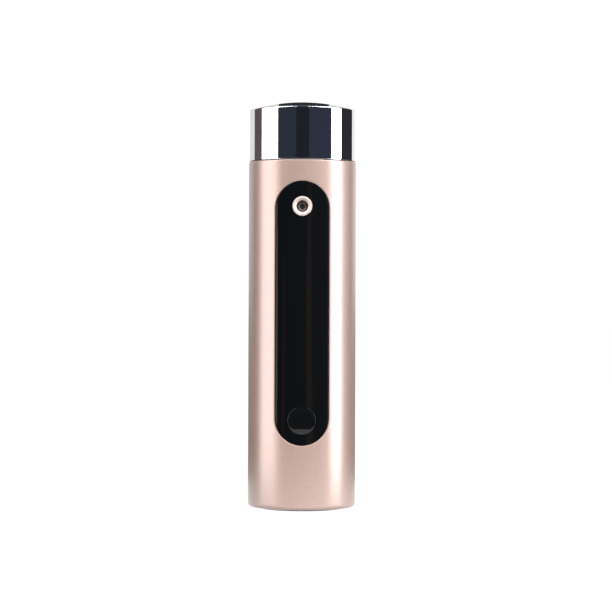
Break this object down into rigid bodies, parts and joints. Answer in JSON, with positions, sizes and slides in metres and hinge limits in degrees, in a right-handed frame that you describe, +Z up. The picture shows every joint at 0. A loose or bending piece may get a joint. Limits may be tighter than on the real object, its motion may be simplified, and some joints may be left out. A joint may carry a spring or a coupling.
{
  "type": "skin scrubber",
  "caption": "Slim upright cylindrical skin scrubber: satin rose-gold sleeve, curved black panel with mist nozzle and power button, and a pull-off chrome cap over a steel blade.",
  "frame": {"origin": "middle of the foot pad's underside, at the bottom centre of the bounding box", "axes": "+Z runs up the handle towards the cap; the black panel, nozzle and button face -Y; +X is the right of the panel as it is looked at"},
  "size_m": [0.036, 0.036, 0.1361],
  "materials": {
    "rose_gold_satin": "satin metallic rose-gold lacquer with a fine sparkle",
    "chrome_plate": "mirror chrome plating",
    "panel_black": "piano-black gloss",
    "button_black": "black gloss, slightly domed",
    "ring_rose_gold": "polished pale rose-gold anodised metal",
    "stainless_steel": "polished stainless steel",
    "zinc_steel": "zinc-plated steel",
    "liner_white": "white moulded plastic",
    "collar_white": "white moulded plastic",
    "frame_grey": "grey moulded plastic",
    "silicone": "soft grey silicone",
    "foot_rubber": "dark rubber",
    "tank_clear": "translucent plastic",
    "piezo_ceramic": "fired piezo ceramic with a silvered face",
    "cell_wrap": "blue shrink wrap",
    "nickel": "nickel",
    "capacitor_can": "aluminium can",
    "board_green": "green solder mask",
    "chip_black": "black moulding compound",
    "ferrite": "grey sintered ferrite",
    "copper": "enamelled copper wire",
    "led_white": "white light-emitting package",
    "wire_red": "red wire insulation",
    "wire_black": "black wire insulation",
    "wire_white": "white wire insulation"
  },
  "bodies": {
    "handle": {"body_sleeve": "rose_gold_satin", "front_panel": "panel_black", "nozzle_ring": "ring_rose_gold", "nozzle_seal_front": "silicone", "nozzle_seal_rear": "silicone", "mist_mesh": "stainless_steel", "mist_ceramic_ring": "piezo_ceramic", "water_tank": "tank_clear", "tank_lid": "tank_clear", "head_collar": "collar_white", "cap_grip_ring": "silicone", "scrub_blade": "stainless_steel", "blade_boot": "silicone", "blade_drive_disc": "piezo_ceramic", "blade_clamp": "zinc_steel", "blade_clamp_screw_left": "zinc_steel", "blade_clamp_screw_right": "zinc_steel", "inner_frame_front": "frame_grey", "inner_frame_rear": "frame_grey", "frame_screw_1": "zinc_steel", "frame_screw_2": "zinc_steel", "frame_screw_3": "zinc_steel", "frame_screw_4": "zinc_steel", "main_board": "board_green", "board_screw_low": "zinc_steel", "board_screw_high": "zinc_steel", "power_switch": "chip_black", "status_led": "led_white", "controller_chip": "chip_black", "transformer_core": "ferrite", "transformer_winding": "copper", "inductor_core": "ferrite", "inductor_winding": "copper", "filter_capacitor_1": "capacitor_can", "filter_capacitor_2": "capacitor_can", "battery_cell": "cell_wrap", "battery_tab_positive": "nickel", "battery_tab_negative": "nickel", "battery_lead_positive": "wire_red", "battery_lead_negative": "wire_black", "charging_lead_positive": "wire_red", "charging_lead_negative": "wire_black", "blade_lead_live": "wire_red", "blade_lead_return": "wire_white", "mist_lead_live": "wire_white", "mist_lead_return": "wire_black", "charging_board": "board_green", "charging_chip": "chip_black", "charging_socket": "nickel", "base_plate": "frame_grey", "base_screw_left": "zinc_steel", "base_screw_right": "zinc_steel", "base_screw_front": "zinc_steel", "foot_pad": "foot_rubber"},
    "cap": {"cap_shell": "chrome_plate", "cap_liner": "liner_white"},
    "power_button": {"power_button": "button_black", "switch_plunger": "chip_black"},
    "filler_plug": {"filler_plug": "silicone"}
  },
  "joints": [
    {"name": "cap_pull", "type": "slide", "parent": "handle", "child": "cap", "axis": [0, 0, 1], "range_m": [0, 0.025]},
    {"name": "button_press", "type": "slide", "parent": "handle", "child": "power_button", "axis": [0, 1, 0], "range_m": [0, 0.0006], "stiffness_N_per_m": 3000, "springref_m": -0.0002},
    {"name": "plug_pull", "type": "slide", "parent": "handle", "child": "filler_plug", "axis": [0, 0, 1], "range_m": [0, 0.005]}
  ]
}
